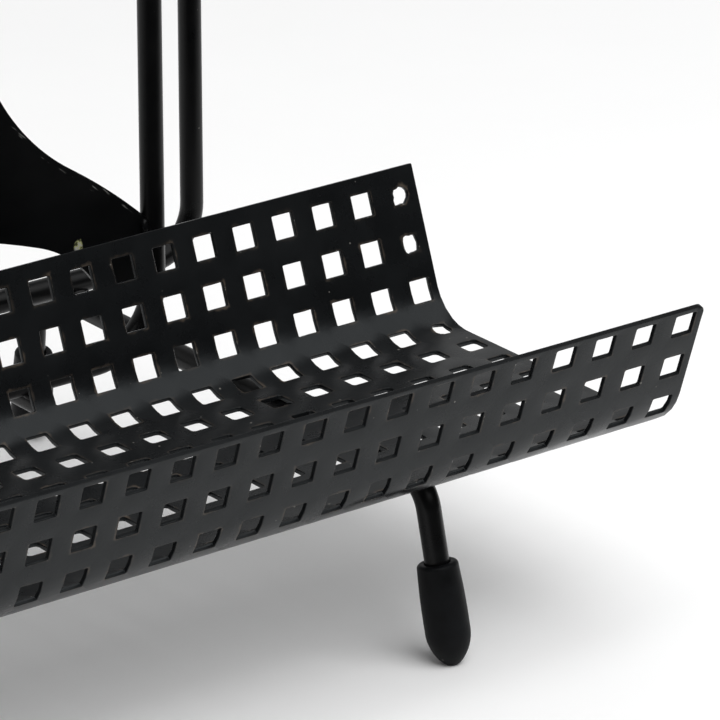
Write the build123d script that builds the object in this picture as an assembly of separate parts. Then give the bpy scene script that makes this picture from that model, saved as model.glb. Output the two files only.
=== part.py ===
"""Letter holder: a perforated sheet tray on two bent wire legs, with two wire loops
and a shaped plate behind it that hold letters upright. Sizes in mm, +Z up, front at -Y."""
import os
from math import cos, degrees, radians, sin, tan

from build123d import *

# Perforated tray: one sheet with 13 rows of square holes, bent into a trough
hole_pitch = 8.0
hole_columns = 29
hole_rows = 13
hole_side = 4.0
end_margin = 3.5
sheet = 1.0
wall_lean = 20.3
row_one_span = 71.7
row_one_rise = 21.3
tray_bend = 10.9
back_rim = 4.8
front_rim = 3.1
front_corner = 1.2

# Round wire of the frame, and how deep one welded wire sinks into the next
wire = 4.0
weld_sink = 0.25

# Leg wires: each one an inverted U across the holder, with splayed feet
leg_half = 75.2
foot_half = 76.5
tray_underside = 31.3
leg_front_corner = -17.9
leg_front_foot = -23.9
leg_back_corner = 89.3
leg_back_foot = 94.1
leg_bend = 6.0

# Rubber caps on the wire ends
cap_length = 17.2
cap_floor = 4.0
cap_rim_dia = 6.6
cap_bulge_dia = 7.2
cap_bulge_rise = 5.8
cap_flat_dia = 1.4
cap_rim_round = 0.6
cap_wear = 0.4
cap_clearance = 0.08

# Wire loops that hold the letters, and the short rails that tie them
front_loop_y = 45.3
front_loop_half = 68.6
front_loop_top = 118.0
front_loop_bend = 12.0
back_loop_y = 77.7
back_loop_half = 99.7
back_loop_top = 140.0
back_loop_bend = 9.0
rail_half = 45.1
rail_overhang = 2.6

# Shaped plate inside the front loop
plate_thick = 1.2
plate_low = 46.0
plate_high = 108.0
plate_shoulder_shares = ((0, 1), (0.576, 0.615), (0.785, 0.360), (1, 0.177))
plate_foot_shares = ((0, 0.298), (0.688, 0.166), (0.845, 0.037), (1, 0.044))

# How far a cutter runs past the face it cuts
overrun = 1.0

# Worked out from the sizes above
wire_r = wire / 2
tray_length = (hole_columns - 1) * hole_pitch + 2 * end_margin
leg_z = tray_underside - wire_r + weld_sink
loop_bottom = leg_z + wire - weld_sink
bottom_mid = tray_underside + sheet / 2
row_one_z = bottom_mid + row_one_rise
half_span = row_one_span / 2
half_bottom = half_span - row_one_rise * tan(radians(wall_lean))
turn = 90.0 - wall_lean
bend_set = tray_bend * tan(radians(turn) / 2)
wall_run = row_one_rise / cos(radians(wall_lean)) - bend_set
bend_run = tray_bend * radians(turn)
flat_run = 2 * (half_bottom - bend_set)
row_pitch = (2 * wall_run + 2 * bend_run + flat_run) / (hole_rows - 1)


def sheet_point(from_middle):
    """Middle of the sheet and its slope, at a length along the bent sheet from the bottom's middle."""
    side = 1 if from_middle > 0 else -1
    flat = flat_run / 2
    bent = abs(from_middle) - flat
    if bent <= 0:
        return from_middle, bottom_mid, 0.0
    if bent <= bend_run:
        angle = bent / tray_bend
        y = flat + tray_bend * sin(angle)
        return side * y, bottom_mid + tray_bend * (1 - cos(angle)), side * degrees(angle)
    below = wall_run + bend_run - bent
    lean = radians(wall_lean)
    return side * (half_span - below * sin(lean)), row_one_z - below * cos(lean), side * turn


def tray_section():
    """Closed outline of the bent sheet in the YZ plane, as one thickened line."""
    lean = radians(wall_lean)
    back_y = half_span + back_rim * sin(lean)
    back_z = row_one_z + back_rim * cos(lean)
    front_y = -half_span - front_rim * sin(lean)
    front_z = row_one_z + front_rim * cos(lean)
    corners = ((front_y, front_z), (-half_bottom, bottom_mid), (half_bottom, bottom_mid), (back_y, back_z))
    middle = FilletPolyline(*corners, radius=tray_bend)
    return trace(middle, line_width=sheet)


def tray():
    """The bent sheet, its front corners rounded, with every hole punched square to its surface."""
    profile = Plane.YZ * tray_section()
    body = extrude(profile, amount=tray_length / 2, both=True)
    rims = body.edges().filter_by(lambda e: abs(e.length - sheet) < sheet / 100)
    rims = [e for e in rims if e.center().Z > row_one_z and e.center().Y < 0]
    body = fillet(rims, radius=front_corner)
    punch = Box(hole_side, hole_side, sheet + 2 * overrun)
    first = -(hole_columns - 1) / 2 * hole_pitch
    punches = []
    for row in range(hole_rows):
        y, z, slope = sheet_point((row - (hole_rows - 1) / 2) * row_pitch)
        for column in range(hole_columns):
            place = Location((first + column * hole_pitch, y, z), (slope, 0, 0))
            punches.append(place * punch)
    return body - punches


def wire_along(path):
    """Round wire swept along a path."""
    start = Plane(origin=path @ 0, z_dir=path % 0)
    return sweep(start * Circle(wire_r), path=path)


def foot_axis(side, corner_y, foot_y):
    """End of the cap before wear and unit direction up the leg."""
    foot = Vector(side * foot_half, foot_y, -cap_wear)
    return foot, (Vector(side * leg_half, corner_y, leg_z) - foot).normalized()


def leg_wire(side):
    """Inverted U of wire with a flat along the top where the tray is welded on."""
    front_foot, front_up = foot_axis(side, leg_front_corner, leg_front_foot)
    back_foot, back_up = foot_axis(side, leg_back_corner, leg_back_foot)
    ends = (
        front_foot + front_up * cap_floor,
        Vector(side * leg_half, leg_front_corner, leg_z),
        Vector(side * leg_half, leg_back_corner, leg_z),
        back_foot + back_up * cap_floor,
    )
    body = wire_along(FilletPolyline(*ends, radius=leg_bend))
    flat = Box(wire + 2 * overrun, 2 * half_bottom, wire)
    return body - Pos(side * leg_half, 0, tray_underside + wire / 2) * flat


def foot_cap(side, corner_y, foot_y):
    """Rubber cap pushed over a wire end, worn flat where it meets the floor."""
    foot, up = foot_axis(side, corner_y, foot_y)
    bore_r = wire_r + cap_clearance
    rim_r = cap_rim_dia / 2
    bulge_r = cap_bulge_dia / 2
    flat_r = cap_flat_dia / 2
    round_from = cap_length - cap_rim_round
    outline = Line((bulge_r, cap_bulge_rise), (rim_r, round_from))
    outline += RadiusArc((rim_r, round_from), (rim_r - cap_rim_round, cap_length), -cap_rim_round)
    outline += Polyline(
        (rim_r - cap_rim_round, cap_length), (bore_r, cap_length), (bore_r, cap_floor),
        (0, cap_floor), (0, 0), (flat_r, 0),
    )
    outline += TangentArc((bulge_r, cap_bulge_rise), (flat_r, 0), tangent=(0, -1))
    body = revolve(Plane.XZ * make_face(outline), axis=Axis.Z)
    body = Plane(origin=foot, x_dir=(1, 0, 0), z_dir=up) * body
    below_floor = Box(cap_length, cap_length, cap_length)
    return body - Pos(foot.X, foot.Y, -cap_length / 2) * below_floor


def loop(y, half, top, bend):
    """Closed upright ring of wire with rounded corners."""
    middle = Plane(origin=(0, y, (loop_bottom + top) / 2), x_dir=(1, 0, 0), z_dir=(0, -1, 0))
    ring = middle * RectangleRounded(2 * half, top - loop_bottom, bend)
    return wire_along(ring.face().outer_wire())


def rail(side):
    """Short straight wire under both loops."""
    start = front_loop_y - rail_overhang
    run = back_loop_y - front_loop_y + 2 * rail_overhang
    stick = Plane(origin=(side * rail_half, start, leg_z), z_dir=(0, 1, 0)) * Circle(wire_r)
    return extrude(stick, amount=run)


def plate_edge(shares):
    """Chain of tangent arcs from the middle line out to the wire, level where it starts."""
    half = front_loop_half - wire_r + weld_sink
    points = [(across * half, plate_low + up * (plate_high - plate_low)) for across, up in shares]
    heading = Vector(1, 0)
    arcs = Curve()
    for start, end in zip(points, points[1:]):
        arc = TangentArc(start, end, tangent=heading)
        heading = arc % 1
        arcs += arc
    return arcs, points[-1]


def plate():
    """Flat sheet with swept shoulders and an arched foot, welded inside the front loop."""
    shoulder, tip = plate_edge(plate_shoulder_shares)
    foot, toe = plate_edge(plate_foot_shares)
    edge = shoulder + foot + Line(tip, toe)
    flat = make_face(edge + mirror(edge, about=Plane.YZ))
    middle = Plane(origin=(0, front_loop_y, 0), x_dir=(1, 0, 0), z_dir=(0, -1, 0))
    return extrude(middle * flat, amount=plate_thick / 2, both=True)


def build():
    """Every piece by node name, before the holder is moved onto its frame."""
    pieces = {"perforated_tray": tray()}
    for name, side in (("left", -1), ("right", 1)):
        pieces["leg_wire_" + name] = leg_wire(side)
        pieces["slot_rail_" + name] = rail(side)
        pieces["foot_cap_front_" + name] = foot_cap(side, leg_front_corner, leg_front_foot)
        pieces["foot_cap_back_" + name] = foot_cap(side, leg_back_corner, leg_back_foot)
    seats = [pieces[name] for name in pieces if name.startswith(("leg_wire", "slot_rail"))]
    pieces["front_loop"] = loop(front_loop_y, front_loop_half, front_loop_top, front_loop_bend) - seats
    pieces["back_loop"] = loop(back_loop_y, back_loop_half, back_loop_top, back_loop_bend) - seats
    pieces["divider_plate"] = plate() - pieces["front_loop"]
    return pieces


pieces = build()
extent = Compound(list(pieces.values())).bounding_box()
shift = Pos(-extent.center().X, -extent.center().Y, -extent.min.Z)
os.makedirs("parts", exist_ok=True)
for node, shape in pieces.items():
    export_step(shift * shape, "parts/" + node + ".step")
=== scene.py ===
"""Looks of a letter holder: a punched and bent sheet tray on wire legs, with wire loops,
a shaped plate and rubber feet. Sizes in metres, in the frame of the packed part."""
from math import atan2, cos, pi, radians, sin, tan

import bmesh
import bpy
from mathutils import Matrix, Vector


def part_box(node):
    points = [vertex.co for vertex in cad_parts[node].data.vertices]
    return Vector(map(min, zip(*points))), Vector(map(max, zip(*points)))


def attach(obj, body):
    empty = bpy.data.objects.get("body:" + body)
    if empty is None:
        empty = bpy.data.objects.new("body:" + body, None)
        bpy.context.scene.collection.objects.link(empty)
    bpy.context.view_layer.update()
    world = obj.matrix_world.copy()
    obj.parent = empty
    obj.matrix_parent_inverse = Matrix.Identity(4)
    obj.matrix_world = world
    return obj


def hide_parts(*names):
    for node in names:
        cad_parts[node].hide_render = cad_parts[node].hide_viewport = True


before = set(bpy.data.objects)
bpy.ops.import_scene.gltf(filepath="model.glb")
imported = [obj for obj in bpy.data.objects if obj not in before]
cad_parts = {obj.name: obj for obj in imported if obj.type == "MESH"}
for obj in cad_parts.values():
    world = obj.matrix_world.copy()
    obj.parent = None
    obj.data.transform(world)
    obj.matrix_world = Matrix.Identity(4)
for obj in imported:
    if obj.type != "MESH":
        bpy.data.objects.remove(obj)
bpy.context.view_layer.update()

bl_info = {
    "name": "Letter Holder",
    "version": (1, 0, 0),
    "blender": (4, 5, 0),
    "location": "View3D > Sidebar > Letter Holder",
    "description": "Builds a perforated letter holder over its packed frame",
    "category": "Object",
}

mm = 0.001

# The front loop's distance behind the tray's middle, in millimetres
front_loop_back = 45.3


def node_centre(node):
    """Middle of a packed node's box."""
    low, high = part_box(node)
    return (low + high) / 2


def property_maker(kind, scale=None, **settings):
    """A function that makes one kind of property from its name, description and default."""
    def make(name, description, default):
        scaled = default * scale if scale else default
        return kind(name=name, description=description, default=scaled, **settings)
    return make


# Lengths are given in millimetres, angles in degrees and colours as linear RGB
length = property_maker(bpy.props.FloatProperty, mm, unit="LENGTH", subtype="DISTANCE", precision=5)
angle = property_maker(bpy.props.FloatProperty, radians(1), subtype="ANGLE")
share = property_maker(bpy.props.FloatProperty, min=0.0, max=1.0, subtype="FACTOR")
count = property_maker(bpy.props.IntProperty, min=1)
colour = property_maker(bpy.props.FloatVectorProperty, size=3, min=0.0, max=1.0, subtype="COLOR")
watts = property_maker(bpy.props.FloatProperty, unit="POWER")
focal = property_maker(bpy.props.FloatProperty, unit="CAMERA")


class TraySizes(bpy.types.PropertyGroup):
    """Sizes of the punched sheet."""
    pitch: length("Hole pitch", "Distance between hole columns", 8.0)
    columns: count("Columns", "Hole columns along the tray", 29)
    rows: count("Rows", "Hole rows round the tray's section", 13)
    hole: length("Hole side", "Side of a square hole", 3.95)
    hole_corner: length("Hole corner", "Rounding of a hole's corners", 0.13)
    end_margin: length("End margin", "Last hole's middle to the sheet's end", 3.5)
    sheet: length("Sheet", "Thickness of the sheet", 0.85)
    edge: length("Edge rounding", "Rounding that the enamel leaves on edges", 0.13)
    back_lean: angle("Back lean", "Lean of the back wall from upright", 20.3)
    front_lean: angle("Front lean", "Lean of the front wall from upright", 18.3)
    front_skew: angle("Front skew", "Turn of the front bend against the hole rows", 0.2)
    skew_from: length("Skew from", "Place along the tray where the front bend meets its line", 25.0)
    span: length("Span", "Between the top hole rows of the two walls", 71.7)
    rise: length("Rise", "Top hole row above the middle of the bottom sheet", 20.89)
    back_bend: length("Back bend", "Radius of the back bend at the sheet's middle", 9.1)
    front_bend: length("Front bend", "Radius of the front bend at the sheet's middle", 10.0)
    back_rim: length("Back rim", "Top hole row to the back wall's edge", 4.8)
    front_rim: length("Front rim", "Top hole row to the front wall's edge", 2.95)
    front_corner: length("Front corner", "Rounding of the sheet's two front corners", 1.2)
    back_corner: length("Back corner", "Rounding of the sheet's two back corners", 0.2)
    middle: length("Middle", "Middle of the bottom sheet above the floor", 32.2)
    uneven: share("Unevenness", "How far holes stray from the grid", 0.5)
    seed: count("Seed", "Seed of the stray holes", 7)


class WireSizes(bpy.types.PropertyGroup):
    """Sizes of the wire frame."""
    wire: length("Wire", "Diameter of the wire", 4.0)
    sink: length("Weld sink", "How deep a welded piece sinks into its wire", 0.25)
    leg_top: length("Leg top", "Height of the legs under the tray", 31.87)
    leg_half: length("Leg half", "Middle plane to a leg at the tray", 75.2)
    foot_half: length("Foot half", "Middle plane to a foot", 76.5)
    front_corner: length("Front corner", "Front bend of a leg, from the tray's middle", -17.9)
    front_foot: length("Front foot", "Front foot, from the tray's middle", -23.9)
    back_corner: length("Back corner", "Back bend of a leg, from the tray's middle", 89.3)
    back_foot: length("Back foot", "Back foot, from the tray's middle", 94.1)
    leg_bend: length("Leg bend", "Bend radius of a leg", 6.0)
    front_loop: length("Front loop", "Front loop, from the tray's middle", front_loop_back)
    front_half: length("Front loop half", "Half the width of the front loop", 68.6)
    front_top: length("Front loop top", "Height of the front loop", 118.0)
    front_bend: length("Front loop bend", "Corner radius of the front loop", 12.0)
    back_loop: length("Back loop", "Back loop, from the tray's middle", 77.7)
    back_half: length("Back loop half", "Half the width of the back loop", 99.7)
    back_top: length("Back loop top", "Height of the back loop", 140.0)
    back_bend: length("Back loop bend", "Corner radius of the back loop", 9.0)
    rail_half: length("Rail half", "Middle plane to a rail", 45.1)
    rail_overhang: length("Rail overhang", "Rail beyond the loops' middles", 2.6)
    bead: length("Weld bead", "Width of a weld bead", 1.5)
    seed: count("Seed", "Seed of the weld beads", 3)


class PlateSizes(bpy.types.PropertyGroup):
    """Sizes of the plate in the front loop."""
    thick: length("Thickness", "Thickness of the plate", 1.2)
    low: length("Low", "Height of the plate's lowest line", 46.0)
    high: length("High", "Height of the plate's crown", 108.0)
    edge: length("Edge rounding", "Rounding of the plate's edges", 0.28)


class CapSizes(bpy.types.PropertyGroup):
    """Sizes of the rubber caps."""
    long: length("Length", "Length of a cap before wear", 17.2)
    floor: length("Floor", "Rubber under the wire's end", 4.0)
    rim: length("Rim", "Diameter at the open end", 6.6)
    bulge: length("Bulge", "Diameter at the widest place", 7.2)
    bulge_rise: length("Bulge height", "Widest place above the toe", 5.8)
    flat: length("Flat", "Diameter of the flat toe", 1.4)
    rim_round: length("Rim rounding", "Rounding of the open end", 0.6)
    wear: length("Wear", "How far the toe is worn flat", 0.4)
    clearance: length("Clearance", "Room round the wire", 0.08)


class FinishColours(bpy.types.PropertyGroup):
    """Colours of the finishes."""
    sheet: colour("Sheet enamel", "Satin black of the sheet", (0.0052, 0.0057, 0.0062))
    wire: colour("Wire enamel", "Semi-gloss black of the wires", (0.0029, 0.0030, 0.0032))
    plate: colour("Plate enamel", "Semi-gloss black of the plate", (0.0018, 0.0020, 0.0022))
    rubber: colour("Rubber", "Matt black of the caps", (0.0028, 0.0031, 0.0036))
    worn: colour("Worn edge", "Brown of thin enamel on edges", (0.085, 0.066, 0.050))
    # Grey of exposed metal in scratches; on the sheet's edges it also paints chips that are partly painted glints
    bare_and_glint: colour("Bare metal", "Grey of scratches", (0.42, 0.42, 0.40))
    dust: colour("Dust", "Grey of dust specks", (0.24, 0.23, 0.21))
    fleck: colour("Paint fleck", "Fleck of paint on the plate", (0.42, 0.43, 0.20))


class StageSizes(bpy.types.PropertyGroup):
    """Floor, light and camera."""
    floor: colour("Floor", "Colour of the floor", (0.94, 0.94, 0.94))
    key: watts("Key", "Power of the overhead lamp", 17.5)
    fill: share("Fill", "Level of the room's light", 0.58)
    dark: share("Dark side", "Level of the room in front of the holder", 0.05)
    lens: focal("Lens", "Focal length for a 36 mm sensor", 275.5)


# Shares of the plate's half width and height, as in the part's source
plate_shoulder_shares = ((0, 1), (0.576, 0.615), (0.785, 0.360), (1, 0.177))
plate_foot_shares = ((0, 0.298), (0.688, 0.166), (0.845, 0.037), (1, 0.044))

# Sides of the holder, as they end the names of pieces and nodes
sides = (("left", -1), ("right", 1))

# The tray's middle in the packed frame
tray_y = node_centre("front_loop").y - front_loop_back * mm

# Where weld beads lie: shares of the tray's flat half, and heights on the plate in millimetres
tray_weld_shares = (-0.7, 0.0, 0.7)
plate_weld_heights = (50.2, 52.9, 55.6)

# The paint fleck's middle on the plate
fleck_x, fleck_z = 53.5 * mm, 54.9 * mm

# The camera: its place from the tray's middle, in metres, and its angles in degrees
camera_place = (-0.41456, -0.64018, 0.36806)
camera_elevation = 21.89
camera_azimuth = -37.48

# Where the floor turns dark to mirror rays, in metres in front of the holder's middle
dark_floor_from = -0.095

# The overhead lamp, in metres
key_place = (0.15, -0.52, 1.15)
key_target = (0.0, 0.0, 0.03)
key_size = 1.2


# Node trees

def math_node(operation, swapped=False):
    """A method that adds one Math node."""
    def method(self, *others):
        node = self.tree.nodes.new("ShaderNodeMath")
        node.operation = operation
        for socket, value in zip(node.inputs, (*others, self) if swapped else (self, *others)):
            plug(self.tree, value, socket)
        return Number(self.tree, node.outputs[0])
    return method


class Number:
    """A number socket of a node tree; sums of Numbers add Math nodes to that tree."""

    def __init__(self, tree, socket):
        self.tree = tree
        self.socket = socket

    __add__, __radd__ = math_node("ADD"), math_node("ADD", swapped=True)
    __sub__, __rsub__ = math_node("SUBTRACT"), math_node("SUBTRACT", swapped=True)
    __mul__, __rmul__ = math_node("MULTIPLY"), math_node("MULTIPLY", swapped=True)
    __truediv__, power = math_node("DIVIDE"), math_node("POWER")
    __gt__, __lt__ = math_node("GREATER_THAN"), math_node("LESS_THAN")
    __abs__, sign, floor = math_node("ABSOLUTE"), math_node("SIGN"), math_node("FLOOR")
    sine, cosine = math_node("SINE"), math_node("COSINE")
    at_least, at_most = math_node("MAXIMUM"), math_node("MINIMUM")

    def within(self, low, high):
        return self.at_least(low).at_most(high)

    def step(self, low, high):
        """0 below low, 1 above high and smooth between them."""
        node = add_node(
            self.tree, "ShaderNodeMapRange", {"Value": self, "From Min": low, "From Max": high},
            interpolation_type="SMOOTHSTEP",
        )
        return Number(self.tree, node.outputs["Result"])


def plug(tree, value, socket):
    """Joins a number, a socket or a node's first output, or sets a plain value."""
    if isinstance(value, Number):
        value = value.socket
    elif isinstance(value, bpy.types.Node):
        value = value.outputs[0]
    if isinstance(value, bpy.types.NodeSocket):
        tree.links.new(value, socket)
    else:
        socket.default_value = value


def add_node(tree, kind, inputs=None, **settings):
    """A node with its settings, and its inputs by name or number."""
    node = tree.nodes.new(kind)
    for key, value in settings.items():
        setattr(node, key, value)
    for key, value in (inputs or {}).items():
        plug(tree, value, node.inputs[key])
    return node


def new_group(name, kind, inputs, outputs):
    """A node group with socket names listed by kind; returns it, its inputs and its output node."""
    tree = bpy.data.node_groups.new(name, kind)
    for in_out, sockets in (("INPUT", inputs), ("OUTPUT", outputs)):
        for socket, labels in sockets.items():
            for label in labels:
                tree.interface.new_socket(name=label, in_out=in_out, socket_type="NodeSocket" + socket)
    entry = tree.nodes.new("NodeGroupInput")
    given = {}
    for socket, labels in inputs.items():
        for label in labels:
            found = entry.outputs[label]
            given[label] = Number(tree, found) if socket in ("Float", "Int") else found
    return tree, given, tree.nodes.new("NodeGroupOutput")


def new_shape_tree(name, values):
    """A node group for a modifier, with an input for each value."""
    kinds = {int: "Int", float: "Float", bpy.types.Material: "Material"}
    inputs = {"Geometry": ["Geometry"]}
    for label, value in values.items():
        inputs.setdefault(kinds[type(value)], []).append(label.replace("_", " "))
    tree, given, out = new_group(name, "GeometryNodeTree", inputs, {"Geometry": ["Geometry"]})
    tree.is_modifier = True
    return tree, given, out


made_groups = {}


def made(maker, *values):
    """A node group, made the first time it is asked for."""
    if maker not in made_groups:
        made_groups[maker] = maker(*values)
    return made_groups[maker]


def store(tree, geometry, name, value):
    """Keeps a number on every point of a geometry."""
    return add_node(
        tree, "GeometryNodeStoreNamedAttribute", {"Geometry": geometry, "Name": name, "Value": value},
        data_type="FLOAT", domain="POINT",
    )


def recall(tree, name):
    """A number kept on every point."""
    node = add_node(tree, "GeometryNodeInputNamedAttribute", {"Name": name}, data_type="FLOAT")
    return Number(tree, node.outputs["Attribute"])


def chance(tree, low, high, key, seed):
    """A random number for each key."""
    node = add_node(tree, "FunctionNodeRandomValue", {2: low, 3: high, "ID": key, "Seed": seed}, data_type="FLOAT")
    return Number(tree, node.outputs[1])


def join_xyz(tree, x, y, z):
    return add_node(tree, "ShaderNodeCombineXYZ", {"X": x, "Y": y, "Z": z})


def split_xyz(tree, vector):
    """The three numbers of a vector."""
    return [Number(tree, socket) for socket in add_node(tree, "ShaderNodeSeparateXYZ", {0: vector}).outputs]


def object_place(tree):
    return tree.nodes.new("ShaderNodeTexCoord").outputs["Object"]


def point_index(tree):
    return Number(tree, tree.nodes.new("GeometryNodeInputIndex").outputs[0])


def noise(tree, vector=None, scale=1.0, detail=1.0, roughness=0.5):
    """Smooth noise round 0.5."""
    node = add_node(tree, "ShaderNodeTexNoise", {"Scale": scale, "Detail": detail, "Roughness": roughness})
    if vector is not None:
        plug(tree, vector, node.inputs["Vector"])
    return Number(tree, node.outputs[0])


def finish_geometry(tree, geometry, material, out):
    """Realizes, smooths and paints what a tree has made."""
    real = add_node(tree, "GeometryNodeRealizeInstances", {"Geometry": geometry})
    smooth = add_node(tree, "GeometryNodeSetShadeSmooth", {"Geometry": real})
    painted = add_node(tree, "GeometryNodeSetMaterial", {"Geometry": smooth, "Material": material})
    plug(tree, painted, out.inputs["Geometry"])
    return tree


def rounded(x, y, half, corner):
    """Moves a point of a square's edge onto the square with rounded corners."""
    straight = half - corner
    kept_x = x.within(straight * -1, straight)
    kept_y = y.within(straight * -1, straight)
    off_x, off_y = x - kept_x, y - kept_y
    far = (off_x * off_x + off_y * off_y).power(0.5)
    reach = far.at_most(corner) / far.at_least(1e-9)
    return kept_x + off_x * reach, kept_y + off_y * reach


def punched_sheet_tree(values):
    """Tree of the bent sheet: one tile of a few rings for each hole, set on a grid and bent into a trough."""
    tree, given, out = new_shape_tree("Punched sheet", values)
    columns, rows, pitch = (given[k] for k in ("Columns", "Rows", "Pitch"))
    sheet, edge, uneven, seed = (given[k] for k in ("Sheet", "Edge", "Uneven", "Seed"))
    index = point_index(tree)

    def by_side(name, place):
        """A size of the back half of the sheet, or of the front half where the place is below 0."""
        back, front = given["Back " + name], given["Front " + name]
        return back + (place < 0) * (front - back)

    # One tile: steps round the hole, and rings from one face over the hole's edge to the other face
    side_steps, rings = 4, 6
    middle_ring = (rings - 1) / 2
    tile = add_node(tree, "GeometryNodeMeshGrid", {"Vertices X": 4 * side_steps + 1, "Vertices Y": rings})
    tile_step = (index / rings).floor()
    tile = store(tree, tile, "step", tile_step)
    tile = store(tree, tile, "ring", index - tile_step * rings)
    grid = add_node(tree, "GeometryNodeMeshGrid", {"Vertices X": columns, "Vertices Y": rows})
    grid_column = (index / rows).floor()
    places = store(tree, grid, "column", grid_column)
    places = store(tree, places, "row", index - grid_column * rows)
    tiles = add_node(tree, "GeometryNodeInstanceOnPoints", {"Points": places, "Instance": tile})
    tiles = add_node(tree, "GeometryNodeRealizeInstances", {"Geometry": tiles})
    step, ring, column, row = (recall(tree, k) for k in ("step", "ring", "column", "row"))
    rows_off = row - (rows - 1) / 2

    # Where a point is on the tile: over the rounded edge, and on which side of the square
    over = abs(ring - middle_ring)
    face = (middle_ring - ring).sign()
    outer = over > 2
    rim = (over - 0.5).within(0, 1)
    depth = face * (sheet / 2 - edge * (1 - rim))
    quarter = (step / side_steps).floor()
    place = step - quarter * side_steps
    at_corner = place < 0.5
    key = column * rows + row

    # Size of the hole: uneven, rounder in the bottom, and clogged in three rows of the last column
    clog_shrink, clog_round, bottom_round = 0.27, 0.45, 2
    last_column = column > columns - 1.5
    clogged = last_column * ((row > rows - 2.5) + (abs(row - rows + 4) < 0.5))
    spread = 1 + uneven * chance(tree, -0.05, 0.03, key, seed)
    half = given["Hole"] / 2 * spread * (1 - clog_shrink * clogged)
    spread = 1 + uneven * chance(tree, -0.4, 1.2, key, seed + 1)
    corner = given["Hole Corner"] * spread + half * clog_round * clogged
    in_bottom = 1 - (abs(rows_off) - 2.5).within(0, 1)
    corner = corner + given["Hole Corner"] * bottom_round * in_bottom
    half, corner = half + edge * rim, corner + edge * rim
    straight = (half - corner) / half
    outer_reach = 0.45
    along = (place - side_steps / 2) * (straight + outer * (outer_reach - straight))
    along = along + at_corner * (-1 - along)
    about = quarter * (pi / 2)
    across_x = about.cosine() - about.sine() * along
    across_y = about.sine() + about.cosine() * along

    # Hole edge, with the nibs that dried enamel leaves
    nibs_per_metre, stray = 900, 0.12 * mm
    plain_rag, nib_rag, clog_rag = 0.02, 0.22, 0.75
    hole_x, hole_y = rounded(across_x * half, across_y * half, half, corner)
    spot = join_xyz(tree, hole_x * nibs_per_metre + column * 11.3, hole_y * nibs_per_metre + row * 7.7, 0.0)
    nibbed = chance(tree, 0, 1, key, seed + 2).power(5) * uneven
    ragged = (noise(tree, spot) - 0.52) * (plain_rag + nib_rag * nibbed + clog_rag * clogged)
    hole_x = hole_x * (1 + ragged) + uneven * chance(tree, -stray, stray, key, seed + 3)
    hole_y = hole_y * (1 + ragged) + uneven * chance(tree, -stray, stray, key, seed + 4)

    # Outer ring of the tile, which reaches the sheet's own edges at the ends
    top_row = (across_y > 0.99) * (row > rows - 1.5)
    low_row = (across_y < -0.99) * (row < 0.5)
    edge_rows = rows_off + across_y / 2
    edge_y = edge_rows * by_side("Row Pitch", edge_rows)
    edge_y = edge_y + top_row * (given["Back Rim"] - given["Back Row Pitch"] / 2)
    edge_y = edge_y - low_row * (given["Front Rim"] - given["Front Row Pitch"] / 2)
    on_x = (column - (columns - 1) / 2) * pitch
    hole_y = hole_y + rows_off * by_side("Row Pitch", rows_off)
    limit = given["Half Length"]
    flat_x = on_x + hole_x + outer * (across_x * pitch / 2 - hole_x)
    flat_x = flat_x.within(limit * -1, limit)
    flat_y = hole_y + outer * (edge_y - hole_y)

    # Bending the flat sheet
    far, side = abs(flat_y), flat_y.sign()
    flat, bend, turn = (by_side(k, flat_y) for k in ("Flat", "Bend", "Turn"))
    flat = flat + (flat_y < 0) * (flat_x - given["Skew From"]) * given["Front Skew"]
    bent = (far - flat).at_least(0)
    slope = (bent / bend).at_most(turn)
    rest = (bent - bend * turn).at_least(0)
    bent_y = side * (far.at_most(flat) + bend * slope.sine() + rest * turn.cosine())
    bent_z = given["Middle"] + bend * (1 - slope.cosine()) + rest * turn.sine()
    bent_y = bent_y - side * slope.sine() * depth + given["Tray Middle"]
    bent_z = bent_z + slope.cosine() * depth
    tiles = store(tree, tiles, "edge", 1 - 0.4 * (over < 1) - (over - 1.5).within(0, 1))
    spot = join_xyz(tree, flat_x, bent_y, bent_z)
    placed = add_node(tree, "GeometryNodeSetPosition", {"Geometry": tiles, "Position": spot})
    joined = add_node(tree, "GeometryNodeMergeByDistance", {"Geometry": placed, "Distance": 0.01 * mm})
    return finish_geometry(tree, joined, given["Material"], out)


def bent_wire_tree(values):
    """Tree of a round wire along a line of points, with bends of one radius."""
    tree, given, out = new_shape_tree("Bent wire", values)
    line = add_node(tree, "GeometryNodeMeshToCurve", {"Mesh": given["Geometry"]})
    bends = {"Curve": line, "Count": given["Bend Steps"], "Radius": given["Bend Radius"]}
    bent = add_node(tree, "GeometryNodeFilletCurve", bends, mode="POLY")
    section = {"Resolution": given["Sides"], "Radius": given["Wire Radius"]}
    ring = add_node(tree, "GeometryNodeCurvePrimitiveCircle", section, mode="RADIUS")
    wire = add_node(tree, "GeometryNodeCurveToMesh", {"Curve": bent, "Profile Curve": ring, "Fill Caps": True})
    return finish_geometry(tree, wire, given["Material"], out)


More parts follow.
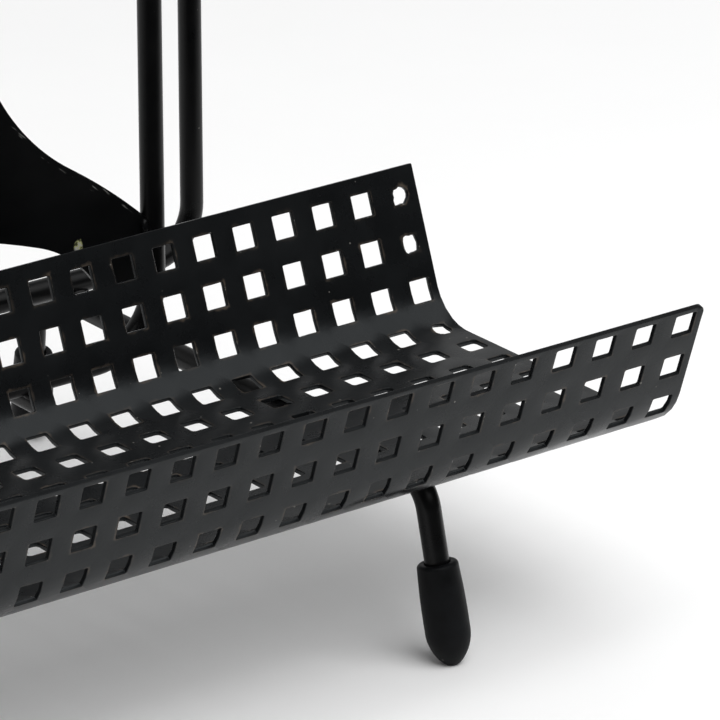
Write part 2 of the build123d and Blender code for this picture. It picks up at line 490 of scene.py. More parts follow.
def weld_bead_tree(values):
    """Tree of small uneven beads of weld, one on each point and laid along its own line."""
    tree, given, out = new_shape_tree("Weld beads", values)
    drop = add_node(tree, "GeometryNodeMeshIcoSphere", {"Radius": 0.5, "Subdivisions": 3})
    lie = add_node(tree, "GeometryNodeInputNamedAttribute", {"Name": "along"}, data_type="FLOAT_VECTOR")
    lay = add_node(tree, "FunctionNodeAlignRotationToVector", {"Vector": lie}, axis="X")
    index, width, seed = point_index(tree), given["Width"], given["Seed"]
    long = width * chance(tree, 1.5, 2.3, index, seed)
    wide = width * chance(tree, 0.8, 1.15, index, seed + 1)
    laid = add_node(
        tree, "GeometryNodeInstanceOnPoints",
        {"Points": given["Geometry"], "Instance": drop, "Rotation": lay, "Scale": join_xyz(tree, long, wide, wide)},
    )
    beads = add_node(tree, "GeometryNodeRealizeInstances", {"Geometry": laid})
    normal = tree.nodes.new("GeometryNodeInputNormal")
    lump = (noise(tree, scale=900.0, detail=2.0) - 0.5) * width * 0.35
    push = add_node(tree, "ShaderNodeVectorMath", {0: normal, "Scale": lump}, operation="SCALE")
    shaped = add_node(tree, "GeometryNodeSetPosition", {"Geometry": beads, "Offset": push})
    return finish_geometry(tree, shaped, given["Material"], out)


# Shader groups and materials

def place_on_surface(tree, scale):
    """Object coordinates times a scale."""
    return add_node(tree, "ShaderNodeVectorMath", {0: object_place(tree), "Scale": scale}, operation="SCALE")


def surface_noise(tree, per_metre, **settings):
    """Noise over a surface, with this many waves in a metre."""
    return noise(tree, place_on_surface(tree, per_metre), **settings)


def enamel_skin_group():
    """Cloudy tone, fine orange peel and long waves of a coated surface; heights in millimetres."""
    tree, given, out = new_group(
        "Enamel skin", "ShaderNodeTree", {"Float": ["Cloud Scale", "Peel Scale", "Peel Depth", "Wave Depth"]},
        {"Float": ["Tone", "Height"]},
    )
    cloud = surface_noise(tree, given["Cloud Scale"], detail=5.0, roughness=0.66)
    peel = surface_noise(tree, given["Peel Scale"], detail=2.0)
    wave = surface_noise(tree, given["Cloud Scale"] * 1.7)
    plug(tree, cloud.step(0.28, 0.72), out.inputs["Tone"])
    plug(tree, peel * given["Peel Depth"] + wave * given["Wave Depth"], out.inputs["Height"])
    return tree


def dust_group():
    """Mask of scattered specks of dust, a few in each patch."""
    tree, given, out = new_group("Dust specks", "ShaderNodeTree", {"Float": ["Scale", "Cover"]}, {"Float": ["Mask"]})
    cells = add_node(tree, "ShaderNodeTexVoronoi", {"Vector": place_on_surface(tree, given["Scale"]), "Scale": 1.0})
    pick = add_node(tree, "ShaderNodeSeparateColor", {"Color": cells.outputs["Color"]})
    size = Number(tree, pick.outputs[0]).power(24) * given["Cover"]
    near = size - Number(tree, cells.outputs["Distance"])
    plug(tree, near.step(0.0, 0.06), out.inputs["Mask"])
    return tree


def worn_edge_group():
    """Mask of enamel worn thin along edges, broken up by noise; with a low reach it also places the bright chips that
    are partly painted glints.
    """
    tree, given, out = new_group(
        "Worn edge", "ShaderNodeTree", {"Float": ["Edge", "Reach", "Scale"]}, {"Float": ["Mask"]}
    )
    rough = surface_noise(tree, given["Scale"], detail=3.0, roughness=0.65)
    patch = surface_noise(tree, given["Scale"] * 0.2)
    worn = given["Edge"] + (rough - 0.5) * 0.9
    reach = 1 - given["Reach"]
    some = 0.3 + 0.7 * patch.step(0.42, 0.58)
    plug(tree, worn.step(reach, reach + 0.35) * some, out.inputs["Mask"])
    return tree


def group(tree, maker, **values):
    """Places a shared group in a material."""
    node = tree.nodes.new("ShaderNodeGroup")
    node.node_tree = made(maker)
    for label, value in values.items():
        plug(tree, value, node.inputs[label.replace("_", " ")])
    return {socket.name: Number(tree, socket) for socket in node.outputs}


def blend(tree, mask, below, above):
    """One colour over another by a mask."""
    node = add_node(tree, "ShaderNodeMix", {0: mask}, data_type="RGBA", clamp_factor=True)
    for socket, value in ((node.inputs[6], below), (node.inputs[7], above)):
        plug(tree, value if isinstance(value, bpy.types.NodeSocket) else (*value, 1.0), socket)
    return node.outputs[2]


def new_material(name):
    """A material with nodes, its tree and its shader."""
    material = bpy.data.materials.new(name)
    material.use_nodes = True
    tree = material.node_tree
    return material, tree, tree.nodes["Principled BSDF"]


def attribute(tree, name):
    return Number(tree, add_node(tree, "ShaderNodeAttribute", attribute_name=name).outputs["Fac"])


def darker(shade, amount):
    return tuple(part * amount for part in shade)


class Finish:
    """A coated surface in the making: its skin, its dust and its colour so far."""

    def __init__(self, name, shade, specular, dark, light, dust_scale, dust_cover, **skin):
        self.material, self.tree, self.shader = new_material(name)
        self.shader.inputs["Specular IOR Level"].default_value = specular
        self.skin = group(self.tree, enamel_skin_group, **skin)
        self.dust = group(self.tree, dust_group, Scale=dust_scale, Cover=dust_cover)["Mask"]
        self.base = blend(self.tree, self.skin["Tone"], darker(shade, dark), darker(shade, light))

    def over(self, mask, shade, strength):
        """Lays a colour over the others by a mask."""
        self.base = blend(self.tree, mask * strength, self.base, shade)

    def worn(self, reach, scale):
        """Mask of the worn edges; with a low reach, of the bright chips that are partly painted glints."""
        return group(self.tree, worn_edge_group, Edge=attribute(self.tree, "edge"), Reach=reach, Scale=scale)["Mask"]

    def done(self, rough, cloudy, dusty, more_rough=None, raised=None):
        """Joins colour, roughness and a height in millimetres to the shader; returns the material."""
        rough = rough + self.skin["Tone"] * cloudy + self.dust * dusty
        height = self.skin["Height"]
        bump = add_node(self.tree, "ShaderNodeBump", {"Strength": 1.0, "Distance": mm})
        plug(self.tree, height if raised is None else height + raised, bump.inputs["Height"])
        plug(self.tree, self.base, self.shader.inputs["Base Color"])
        plug(self.tree, rough if more_rough is None else rough + more_rough, self.shader.inputs["Roughness"])
        plug(self.tree, bump, self.shader.inputs["Normal"])
        return self.material


def scrapes(tree, turn, low, high):
    """Mask of short scratches that slope down to the right by a turn."""
    drawn = {"Vector": object_place(tree), "Rotation": (0, radians(turn), 0), "Scale": (4 * mm, 1.1 * mm, 0.4 * mm)}
    spot = add_node(tree, "ShaderNodeMapping", drawn, vector_type="TEXTURE")
    return noise(tree, spot, detail=2.0).step(low, high)


# How high dust stands on enamel, in millimetres
dust_height = 0.01


def sheet_material(colours):
    """Satin black enamel with cloudy gloss, brown worn hole edges, rare bright chips on the edges that are partly
    exposed metal and partly painted glints, and dust.
    """
    finish = Finish(
        "satin_enamel", colours.sheet, specular=0.235, dark=0.8, light=1.2, dust_scale=820.0, dust_cover=0.20,
        Cloud_Scale=55.0, Peel_Scale=1500.0, Peel_Depth=0.012, Wave_Depth=0.22,
    )
    finish.shader.inputs["Specular Tint"].default_value = (0.90, 0.97, 1.0, 1.0)
    worn = finish.worn(reach=0.17, scale=420.0)
    # Rare bright specks on hole rims and sheet edges: chips of exposed metal, and also painted glints where edges
    # would catch the light
    chip_and_glint = finish.worn(reach=-0.08, scale=1100.0)
    finish.over(worn, colours.worn, strength=0.75)
    finish.over((chip_and_glint * 6).at_most(1), colours.bare_and_glint, strength=0.6)
    finish.over(finish.dust, colours.dust, strength=0.5)
    return finish.done(
        rough=0.23, cloudy=0.11, dusty=0.2, more_rough=worn * 0.16, raised=finish.dust * dust_height - worn * 0.008
    )


def wire_material(colours):
    """Semi-gloss black enamel of the wires."""
    finish = Finish(
        "wire_enamel", colours.wire, specular=0.17, dark=0.75, light=1.25, dust_scale=820.0, dust_cover=0.18,
        Cloud_Scale=90.0, Peel_Scale=1300.0, Peel_Depth=0.010, Wave_Depth=0.03,
    )
    finish.over(scrapes(finish.tree, -32.0, 0.76, 0.82), colours.bare_and_glint, strength=0.3)
    finish.over(finish.dust, colours.dust, strength=0.45)
    return finish.done(rough=0.26, cloudy=0.10, dusty=0.25, raised=finish.dust * dust_height)


def paint_fleck(tree):
    """Mask of one ragged fleck on the front of the plate."""
    x, y, z = split_xyz(tree, object_place(tree))
    ragged = surface_noise(tree, 700.0, detail=3.0) - 0.5
    off_x, off_z = x - fleck_x, z - fleck_z
    far = (off_x * off_x * 1.4 + off_z * off_z * 0.7).power(0.5) + ragged * 1.6 * mm
    return (1 - far.step(0.65 * mm, 1.05 * mm)) * (y < node_centre("divider_plate").y)


def plate_material(colours):
    """Semi-gloss black enamel with scratches at the shoulders and one fleck of paint."""
    finish = Finish(
        "plate_enamel", colours.plate, specular=0.16, dark=0.75, light=1.3, dust_scale=760.0, dust_cover=0.20,
        Cloud_Scale=70.0, Peel_Scale=1200.0, Peel_Depth=0.010, Wave_Depth=0.06,
    )
    tree = finish.tree
    fleck = paint_fleck(tree)
    mixed = surface_noise(tree, 1900.0)
    torn = blend(tree, mixed.step(0.40, 0.46), darker(colours.fleck, 0.12), colours.fleck)
    torn = blend(tree, mixed.step(0.54, 0.60), torn, colours.bare_and_glint)
    scratched = scrapes(tree, 42.0, 0.64, 0.72) * attribute(tree, "shoulder").step(0.35, 0.85)
    finish.over(finish.worn(reach=0.05, scale=260.0), colours.worn, strength=0.6)
    finish.over(scratched, colours.bare_and_glint, strength=0.4)
    finish.over(finish.dust, colours.dust, strength=0.5)
    finish.over(fleck, torn, strength=0.9)
    return finish.done(
        rough=0.28, cloudy=0.10, dusty=0.2, more_rough=fleck * 0.3, raised=fleck * 0.03 + finish.dust * dust_height
    )


def rubber_material(colours):
    """Matt rubber with a cloudy tone, a fine grain and dust."""
    finish = Finish(
        "cap_rubber", colours.rubber, specular=0.12, dark=0.5, light=1.6, dust_scale=700.0, dust_cover=0.20,
        Cloud_Scale=240.0, Peel_Scale=1700.0, Peel_Depth=0.022, Wave_Depth=0.03,
    )
    finish.over(finish.dust, colours.dust, strength=0.4)
    return finish.done(rough=0.44, cloudy=0.14, dusty=0.2)


# Meshes

def new_object(name, data):
    piece = bpy.data.objects.new(name, data)
    bpy.context.scene.collection.objects.link(piece)
    return piece


def settle(piece):
    """Turns a piece's modifiers into a plain mesh."""
    graph = bpy.context.evaluated_depsgraph_get()
    mesh = bpy.data.meshes.new_from_object(
        piece.evaluated_get(graph), preserve_all_data_layers=True, depsgraph=graph
    )
    piece.modifiers.clear()
    piece.data = mesh
    return piece


def grow(name, mesh, maker, **values):
    """A piece made by a node tree, as a plain mesh."""
    tree = made(maker, values)
    piece = new_object(name, mesh)
    modifier = piece.modifiers.new(tree.name, "NODES")
    modifier.node_group = tree
    for label, value in values.items():
        modifier[tree.interface.items_tree[label.replace("_", " ")].identifier] = value
    settle(piece)
    piece.data.materials.clear()
    piece.data.materials.append(values["Material"])
    piece.data.polygons.foreach_set("material_index", [0] * len(piece.data.polygons))
    return piece


def even_normals(piece):
    """Shades flat faces flat and rounded edges round."""
    for polygon in piece.data.polygons:
        polygon.use_smooth = True
    modifier = piece.modifiers.new("Even normals", "WEIGHTED_NORMAL")
    modifier.weight = 80
    return settle(piece)


def edit(piece, change):
    """Runs a change on the piece's mesh."""
    body = bmesh.new()
    body.from_mesh(piece.data)
    change(body)
    body.to_mesh(piece.data)
    body.free()
    return piece


def bevel(body, edges, width, segments):
    """Rounds edges by a width and returns the new faces."""
    return bmesh.ops.bevel(
        body, geom=edges, offset=width, offset_type="OFFSET", segments=segments, profile=0.5,
        affect="EDGES", clamp_overlap=True, material=-1,
    )["faces"]


def sharp_edges(body, least):
    """Edges where two faces meet at more than an angle, in degrees."""
    return [e for e in body.edges if len(e.link_faces) == 2 and e.calc_face_angle() > radians(least)]


def painted_mesh(body, name, material):
    """Ends an edited body as a mesh with one material."""
    mesh = bpy.data.meshes.new(name)
    body.to_mesh(mesh)
    body.free()
    mesh.materials.append(material)
    return mesh


def hand_over(piece, slot, *nodes):
    """Puts a finished piece on the frame."""
    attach(piece, "root")
    if nodes:
        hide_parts(*nodes)
    return piece


def tray_run(sizes, side):
    """Flat bottom, turn of the bend and row pitch of the back or front half of the sheet."""
    lean, bend = (getattr(sizes, side + kind) for kind in ("_lean", "_bend"))
    turn = pi / 2 - lean
    set_back = bend * tan(turn / 2)
    flat = sizes.span / 2 - sizes.rise * tan(lean) - set_back
    wall = sizes.rise / cos(lean) - set_back
    row_pitch = 2 * (wall + bend * turn + flat) / (sizes.rows - 1)
    return flat, turn, row_pitch


def close_sheet(sizes):
    """Change that closes the sheet's outer edge and rounds it."""
    def change(body):
        ring = body.verts.layers.float["ring"]
        keep = body.verts.layers.float["edge"]
        open_edges = [e for e in body.edges if e.is_boundary]
        columns = {}
        for vert in dict.fromkeys(v for e in open_edges for v in e.verts):
            columns.setdefault(round(vert.co.x, 6), []).append(vert)
        other = {}
        for verts in columns.values():
            for vert in verts:
                other[vert] = min((v for v in verts if v is not vert), key=lambda v: (v.co - vert.co).length)
        for edge in [e for e in open_edges if all(v[ring] < 2.5 for v in e.verts)]:
            a, b = edge.verts
            body.faces.new((a, b, other[b], other[a]))
        bmesh.ops.recalc_face_normals(body, faces=body.faces)
        corners = []
        for vert in [v for v in other if v[ring] < 2.5]:
            along = [e.other_vert(vert) for e in vert.link_edges if e.other_vert(vert) in other]
            turns = {abs(v.co.x - vert.co.x) < 1e-6 for v in along if v is not other[vert]}
            if len(turns) == 2:
                corners += [e for e in vert.link_edges if e.other_vert(vert) is other[vert]]
        bevel(body, [e for e in corners if e.verts[0].co.y < tray_y], sizes.front_corner, 5)
        corners = [e for e in corners if e.is_valid]
        bevel(body, corners, sizes.back_corner, 2)
        outline = [e for e in sharp_edges(body, 75) if all(v[keep] < 0.5 for v in e.verts)]
        strip = set(bevel(body, outline, sizes.edge, 2))
        for vert in {v for face in strip for v in face.verts}:
            vert[keep] = 1.0 if strip.issuperset(vert.link_faces) else 0.0
    return change


def line_mesh(points, closed=False):
    """Mesh of edges through points."""
    mesh = bpy.data.meshes.new("line")
    edges = [(i, i + 1) for i in range(len(points) - 1)]
    if closed:
        edges.append((len(points) - 1, 0))
    mesh.from_pydata([tuple(p) for p in points], edges, [])
    return mesh


def soften_ends(width):
    """Change that rounds the sawn ends of a wire."""
    def change(body):
        bmesh.ops.recalc_face_normals(body, faces=body.faces)
        rims = sharp_edges(body, 60)
        if rims:
            bevel(body, rims, width, 3)
    return change


def foot_axis(side, end, wires, caps):
    """End of a front or back cap before wear, the direction up its leg and the leg's corner."""
    foot, corner = (getattr(wires, end + kind) + tray_y for kind in ("_foot", "_corner"))
    low = Vector((side * wires.foot_half, foot, -caps.wear))
    high = Vector((side * wires.leg_half, corner, heights(wires)[0]))
    return low, (high - low).normalized(), high


def leg_points(side, wires, caps):
    """Line of one leg wire, from the front foot over the top to the back foot."""
    front, front_up, front_corner = foot_axis(side, "front", wires, caps)
    back, back_up, back_corner = foot_axis(side, "back", wires, caps)
    return front + front_up * caps.floor, front_corner, back_corner, back + back_up * caps.floor


def loop_points(end, wires):
    """Corners of the front or back loop."""
    y, half, high = (getattr(wires, end + kind) for kind in ("_loop", "_half", "_top"))
    low = heights(wires)[1]
    return [Vector((x, y + tray_y, z)) for x, z in ((half, low), (half, high), (-half, high), (-half, low))]


def rail_points(side, wires):
    """Ends of one rail."""
    ends = (wires.front_loop - wires.rail_overhang, wires.back_loop + wires.rail_overhang)
    return [Vector((side * wires.rail_half, y + tray_y, heights(wires)[0])) for y in ends]


def heights(wires):
    """Heights of the legs and of the loops' bottoms."""
    leg_z = wires.leg_top - wires.wire / 2
    return leg_z, leg_z + wires.wire - wires.sink


def arc_through(start, heading, end, steps):
    """Points of the arc that leaves start along heading and reaches end, and its heading there."""
    chord = end - start
    off = atan2(heading.x * chord.y - heading.y * chord.x, heading.dot(chord))
    points = []
    for i in range(1, steps + 1):
        part = i / steps
        reach = chord.length * (sin(off * part) / sin(off) if abs(off) > 1e-6 else part)
        lean = atan2(heading.y, heading.x) + off * part
        points.append(start + reach * Vector((cos(lean), sin(lean))))
    last = atan2(heading.y, heading.x) + 2 * off
    return points, Vector((cos(last), sin(last)))


def plate_edge(shares, half, plate):
    """The upper or lower edge of the plate, from left to right."""
    rise = plate.high - plate.low
    stops = [Vector((across * half, plate.low + up * rise)) for across, up in shares]
    heading = Vector((1, 0))
    points = [stops[0]]
    for start, end in zip(stops, stops[1:]):
        arc, heading = arc_through(start, heading, end, steps=14)
        points += arc
    return [Vector((-p.x, p.y)) for p in reversed(points[1:])] + points


def plate_mesh(plate, wires, material):
    """The plate as strips between its shoulder and its foot, closed and with rounded edges."""
    half = wires.front_half - wires.wire / 2 + wires.sink
    top, foot = (plate_edge(shares, half, plate) for shares in (plate_shoulder_shares, plate_foot_shares))
    body = bmesh.new()
    keep = body.verts.layers.float.new("edge")
    shoulder = body.verts.layers.float.new("shoulder")
    y = wires.front_loop + tray_y
    faces = {}
    strips = (0.0, 0.02, 0.25, 0.5, 0.75, 0.98, 1.0)
    scratched_from = 20 * mm
    for front in (-1, 1):
        for i, (a, b) in enumerate(zip(top, foot)):
            for j, part in enumerate(strips):
                p = a.lerp(b, part)
                vert = body.verts.new((p.x, y + front * plate.thick / 2, p.y))
                vert[keep] = 1.0 if part in (0.0, 1.0) else 0.0
                vert[shoulder] = max(0.0, 1.0 - part * 6.0) * min(1.0, abs(p.x) / scratched_from)
                faces[front, i, j] = vert
    last, ends = len(top) - 1, len(strips) - 1
    for front in (-1, 1):
        for i in range(last):
            for j in range(ends):
                ring = ((i, j), (i + 1, j), (i + 1, j + 1), (i, j + 1))
                body.faces.new([faces[(front, *spot)] for spot in ring])
    for i in range(last):
        for j in (0, ends):
            body.faces.new([faces[-1, i, j], faces[-1, i + 1, j], faces[1, i + 1, j], faces[1, i, j]])
    for j in range(ends):
        for i in (0, last):
            body.faces.new([faces[-1, i, j], faces[-1, i, j + 1], faces[1, i, j + 1], faces[1, i, j]])
    bmesh.ops.recalc_face_normals(body, faces=body.faces)
    bevel(body, sharp_edges(body, 60), plate.edge, 2)
    return painted_mesh(body, "shoulder_plate", material)


def cap_profile(caps, wire):
    """Half section of a cap, from the toe round the outside and down the bore."""
    bulge, rim, flat = caps.bulge / 2, caps.rim / 2, caps.flat / 2
    toe, _ = arc_through(Vector((bulge, caps.bulge_rise)), Vector((0, -1)), Vector((flat, 0)), 10)
    points = [Vector((0, 0)), Vector((flat * 0.55, 0))] + toe[::-1] + [Vector((bulge, caps.bulge_rise))]
    shoulder = caps.long - caps.rim_round
    side_swell, lip = 0.12 * mm, 0.12 * mm
    for i in range(1, 6):
        part = i / 6
        reach = bulge + (rim - bulge) * part + side_swell * sin(pi * part)
        points.append(Vector((reach, caps.bulge_rise + (shoulder - caps.bulge_rise) * part)))
    for i in range(7):
        turn = pi / 2 * i / 6
        inner = rim - caps.rim_round
        points.append(Vector((inner + caps.rim_round * cos(turn), shoulder + caps.rim_round * sin(turn))))
    bore = wire / 2 + caps.clearance
    inside = ((bore + lip, caps.long), (bore, caps.long - lip), (bore, caps.floor), (0, caps.floor))
    return points + [Vector(place) for place in inside]


def cap_mesh(caps, wire, foot, up, material, seed):
    """A cap turned round the leg's line, a little uneven and worn flat on the floor."""
    around, uneven, bore_limit = 40, 0.008, wire / 2 + 0.5 * mm
    profile = cap_profile(caps, wire)
    lay = up.to_track_quat("Z", "Y").to_matrix().to_4x4()
    body = bmesh.new()
    rings = []
    for point in profile:
        if point.x < 1e-9:
            rings.append([body.verts.new((0, 0, point.y))] * around)
            continue
        ring = []
        for i in range(around):
            turn = 2 * pi * i / around
            swell = 1 + uneven * sin(2 * turn + seed) * (point.y > caps.floor)
            reach = point.x * (swell if point.x > bore_limit else 1)
            ring.append(body.verts.new((reach * cos(turn), reach * sin(turn), point.y)))
        rings.append(ring)
    for low, high in zip(rings, rings[1:]):
        for i in range(around):
            k = (i + 1) % around
            ring = [low[i], low[k], high[k], high[i]]
            body.faces.new(list(dict.fromkeys(ring)))
    bmesh.ops.transform(body, matrix=Matrix.Translation(foot) @ lay, verts=body.verts)
    for vert in body.verts:
        vert.co.z = max(vert.co.z, 0.0)
    bmesh.ops.recalc_face_normals(body, faces=body.faces)
    return painted_mesh(body, "rubber_cap", material)


def bead_mesh(places):
    """Points of the weld beads, each with the line it lies along."""
    mesh = bpy.data.meshes.new("beads")
    mesh.from_pydata([tuple(place) for place, _ in places], [], [])
    along = mesh.attributes.new("along", "FLOAT_VECTOR", "POINT")
    for item, (_, line) in zip(along.data, places):
        item.vector = line
    return mesh


def crossing_beads(x, y, low, high, wire):
    """Four beads in the nooks where an upper wire along X lies on a lower wire along Y."""
    middle = (low + high) / 2
    nook, step = wire * 0.38, wire * 0.08
    beads = []
    for side in (-1, 1):
        beads.append((Vector((x, y + side * nook, middle + step)), Vector((1, 0, 0))))
        beads.append((Vector((x + side * nook, y, middle - step)), Vector((0, 1, 0))))
    return beads


# Operators

class LETTER_HOLDER_OT_tray(bpy.types.Operator):
    """Punches and bends the tray's sheet"""
    bl_idname = "letter_holder.tray"
    bl_label = "Perforated Tray"

    def execute(self, context):
        sizes = context.scene.letter_tray
        taken = ("columns", "rows", "pitch", "hole", "hole_corner", "edge", "sheet", "back_bend", "front_bend",
                 "back_rim", "front_rim", "skew_from", "middle", "uneven", "seed")
        values = {name.title(): getattr(sizes, name) for name in taken}
        for side in ("Back", "Front"):
            run = tray_run(sizes, side.lower())
            values.update(zip((side + "_Flat", side + "_Turn", side + "_Row_Pitch"), run))
        piece = grow(
            "punched_sheet", bpy.data.meshes.new("sheet"), punched_sheet_tree, **values,
            Front_Skew=tan(sizes.front_skew), Half_Length=(sizes.columns - 1) / 2 * sizes.pitch + sizes.end_margin,
            Tray_Middle=tray_y, Material=sheet_material(context.scene.letter_finish),
        )
        edit(piece, close_sheet(sizes))
        hand_over(even_normals(piece), "enamel_sheet", "perforated_tray")
        return {"FINISHED"}


class LETTER_HOLDER_OT_wires(bpy.types.Operator):
    """Bends the legs, the two loops and the rails from round wire"""
    bl_idname = "letter_holder.wires"
    bl_label = "Wire Frame"

    def execute(self, context):
        scene, wires, caps = context.scene, context.scene.letter_wire, context.scene.letter_cap
        paint = wire_material(scene.letter_finish)
        lines = [(f"letter_loop_{end}", f"{end}_loop", getattr(wires, end + "_bend"), loop_points(end, wires))
                 for end in ("front", "back")]
        for name, side in sides:
            lines.append((f"bent_leg_{name}", f"leg_wire_{name}", wires.leg_bend, leg_points(side, wires, caps)))
            lines.append((f"tie_rail_{name}", f"slot_rail_{name}", wires.leg_bend, rail_points(side, wires)))
        for name, node, bend, points in lines:
            piece = grow(
                name, line_mesh(points, closed=node.endswith("_loop")), bent_wire_tree, Wire_Radius=wires.wire / 2,
                Bend_Radius=bend, Bend_Steps=14, Sides=36, Material=paint,
            )
            edit(piece, soften_ends(width=0.35 * mm))
            hand_over(even_normals(piece), "enamel_wire", node)
        return {"FINISHED"}


class LETTER_HOLDER_OT_plate(bpy.types.Operator):
    """Cuts the shaped plate inside the front loop"""
    bl_idname = "letter_holder.plate"
    bl_label = "Shoulder Plate"

    def execute(self, context):
        scene = context.scene
        mesh = plate_mesh(scene.letter_plate, scene.letter_wire, plate_material(scene.letter_finish))
        piece = new_object("shoulder_plate", mesh)
        hand_over(even_normals(piece), "enamel_sheet", "divider_plate")
        return {"FINISHED"}


class LETTER_HOLDER_OT_caps(bpy.types.Operator):
    """Moulds the four rubber caps on the wire ends"""
    bl_idname = "letter_holder.caps"
    bl_label = "Rubber Caps"

    def execute(self, context):
        scene, wires, caps = context.scene, context.scene.letter_wire, context.scene.letter_cap
        rubber = rubber_material(scene.letter_finish)
        seed = 0
        for name, side in sides:
            for end in ("front", "back"):
                toe, up, _ = foot_axis(side, end, wires, caps)
                seed += 1
                piece = new_object(f"rubber_cap_{end}_{name}", cap_mesh(caps, wires.wire, toe, up, rubber, seed))
                hand_over(even_normals(piece), "cap_rubber", f"foot_cap_{end}_{name}")
        return {"FINISHED"}


class LETTER_HOLDER_OT_welds(bpy.types.Operator):
    """Lays the weld beads where wires, tray and plate meet"""
    bl_idname = "letter_holder.welds"
    bl_label = "Weld Beads"

    def execute(self, context):
        scene, wires, plate = context.scene, context.scene.letter_wire, context.scene.letter_plate
        leg_z, loop_z = heights(wires)
        half_flat, _, _ = tray_run(scene.letter_tray, "back")
        beside = wires.wire * 0.37
        below = wires.leg_top - 0.5 * mm
        plate_x = wires.front_half - wires.wire / 2 - 0.1 * mm
        plate_y = plate.thick / 2 + 0.12 * mm
        places = []
        for _, side in sides:
            leg, rail = side * wires.leg_half, side * wires.rail_half
            for x, y in ((leg, wires.back_loop), (rail, wires.back_loop), (rail, wires.front_loop)):
                places += crossing_beads(x, y + tray_y, leg_z, loop_z, wires.wire)
            for part in tray_weld_shares:
                for off in (-1, 1):
                    spot = Vector((leg + off * beside, tray_y + part * half_flat, below))
                    places.append((spot, Vector((0, 1, 0))))
            for height in plate_weld_heights:
                for off in (-1, 1):
                    spot = Vector((side * plate_x, wires.front_loop + tray_y + off * plate_y, height * mm))
                    places.append((spot, Vector((0, 0, 1))))
        piece = grow(
            "weld_beads", bead_mesh(places), weld_bead_tree, Width=wires.bead, Seed=wires.seed,
            Material=bpy.data.materials["wire_enamel"],
        )
        hand_over(piece, "enamel_wire")
        return {"FINISHED"}


def floor_material(stage):
    """Pale floor with faint clouds, dark to mirror rays far in front of the holder."""
    material, tree, shader = new_material("pale_floor")
    spot = object_place(tree)
    cloud = noise(tree, spot, scale=26.0, detail=5.0, roughness=0.6)
    plug(tree, blend(tree, cloud, darker(stage.floor, 0.985), darker(stage.floor, 1.01)), shader.inputs["Base Color"])
    shader.inputs["Roughness"].default_value = 0.75
    shader.inputs["Specular IOR Level"].default_value = 0.15
    _, y, _ = split_xyz(tree, spot)
    mirror = Number(tree, tree.nodes.new("ShaderNodeLightPath").outputs["Is Glossy Ray"])
    dim = add_node(tree, "ShaderNodeBsdfDiffuse", {"Color": (stage.dark, stage.dark, stage.dark, 1.0)})
    in_front = 1 - y.step(dark_floor_from - 0.045, dark_floor_from)
    mix = add_node(tree, "ShaderNodeMixShader", {0: in_front * mirror, 1: shader, 2: dim})
    plug(tree, mix, tree.nodes["Material Output"].inputs["Surface"])
    return material


def room_light(scene, stage):
    """A room that is pale behind and above the holder and dim in front of it; white to the camera."""
    world = bpy.data.worlds.new("studio")
    world.use_nodes = True
    scene.world = world
    tree = world.node_tree
    shine = tree.nodes["Background"]
    _, y, z = split_xyz(tree, tree.nodes.new("ShaderNodeTexCoord").outputs["Generated"])
    behind = y.step(-0.10, 0.35)
    overhead = (z * 0.92 - y * 0.39).step(0.66, 0.84)
    pale = (behind * (1 - z.step(0.45, 0.80)) * 0.56).at_least(overhead * 2.0)
    rays = {socket.name: Number(tree, socket) for socket in tree.nodes.new("ShaderNodeLightPath").outputs}
    soft = stage.fill * (0.4 + behind * 0.6)
    level = soft + rays["Is Glossy Ray"] * (stage.dark + pale * (1 - stage.dark) - soft)
    seen = rays["Is Camera Ray"].at_least(rays["Is Transmission Ray"])
    plug(tree, level + seen * (1 - level), shine.inputs["Strength"])
    shine.inputs["Color"].default_value = (1.0, 1.0, 1.0, 1.0)


def add_camera(scene, stage):
    """Camera at the photograph's viewing angle."""
    camera = bpy.data.cameras.new("camera")
    camera.sensor_width = 36.0
    camera.lens = stage.lens
    camera.clip_end = 50.0
    view = new_object("camera", camera)
    view.location = Vector(camera_place) + Vector((0.0, tray_y, 0.0))
    view.rotation_euler = (radians(90 - camera_elevation), 0.0, radians(camera_azimuth))
    scene.camera = view


def add_lamp(stage):
    """A square area lamp overhead, which mirrors don't show."""
    lamp = bpy.data.lights.new("key", "AREA")
    lamp.energy = stage.key
    lamp.size = key_size
    holder = new_object("key", lamp)
    holder.visible_glossy = False
    holder.location = key_place
    holder.rotation_euler = (Vector(key_target) - Vector(key_place)).to_track_quat("-Z", "Y").to_euler()


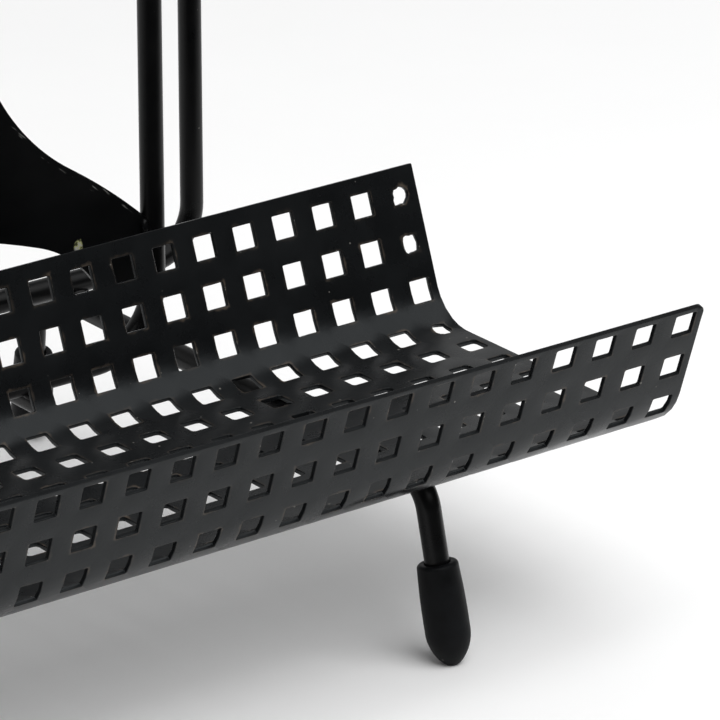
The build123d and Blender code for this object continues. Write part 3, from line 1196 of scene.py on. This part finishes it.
class LETTER_HOLDER_OT_stage(bpy.types.Operator):
    """Sets the floor, the light and the camera"""
    bl_idname = "letter_holder.stage"
    bl_label = "Floor, Light and Camera"

    def execute(self, context):
        scene, stage = context.scene, context.scene.letter_stage
        mesh = bpy.data.meshes.new("floor")
        wide = 4.0
        corners = [(x * wide, y * wide, 0) for x, y in ((-1, -1), (1, -1), (1, 1), (-1, 1))]
        mesh.from_pydata(corners, [], [(0, 1, 2, 3)])
        mesh.materials.append(floor_material(stage))
        floor = new_object("floor", mesh)
        floor.location.z = -0.02 * mm
        room_light(scene, stage)
        add_lamp(stage)
        add_camera(scene, stage)
        scene.view_settings.view_transform = "Standard"
        return {"FINISHED"}


class LETTER_HOLDER_PT_panel(bpy.types.Panel):
    """Lists the steps and sizes"""
    bl_idname = "LETTER_HOLDER_PT_panel"
    bl_label = "Letter Holder"
    bl_space_type = "VIEW_3D"
    bl_region_type = "UI"
    bl_category = "Letter Holder"

    def draw(self, context):
        for step in steps:
            self.layout.operator(step.bl_idname)
        for name, sizes in groups.items():
            box = self.layout.box()
            box.label(text=sizes.__doc__)
            for label in sizes.__annotations__:
                box.prop(getattr(context.scene, name), label)


groups = {
    "letter_tray": TraySizes, "letter_wire": WireSizes, "letter_plate": PlateSizes, "letter_cap": CapSizes,
    "letter_finish": FinishColours, "letter_stage": StageSizes,
}
steps = (
    LETTER_HOLDER_OT_tray, LETTER_HOLDER_OT_wires, LETTER_HOLDER_OT_plate, LETTER_HOLDER_OT_caps,
    LETTER_HOLDER_OT_welds, LETTER_HOLDER_OT_stage,
)


def register():
    for kind in (*groups.values(), *steps, LETTER_HOLDER_PT_panel):
        bpy.utils.register_class(kind)
    for name, kind in groups.items():
        setattr(bpy.types.Scene, name, bpy.props.PointerProperty(type=kind))


def unregister():
    for name in groups:
        delattr(bpy.types.Scene, name)
    for kind in (LETTER_HOLDER_PT_panel, *reversed(steps), *groups.values()):
        bpy.utils.unregister_class(kind)


def main():
    register()
    bpy.ops.letter_holder.tray()
    bpy.ops.letter_holder.wires()
    bpy.ops.letter_holder.plate()
    bpy.ops.letter_holder.caps()
    bpy.ops.letter_holder.welds()
    bpy.ops.letter_holder.stage()


if __name__ == "__main__":
    main()
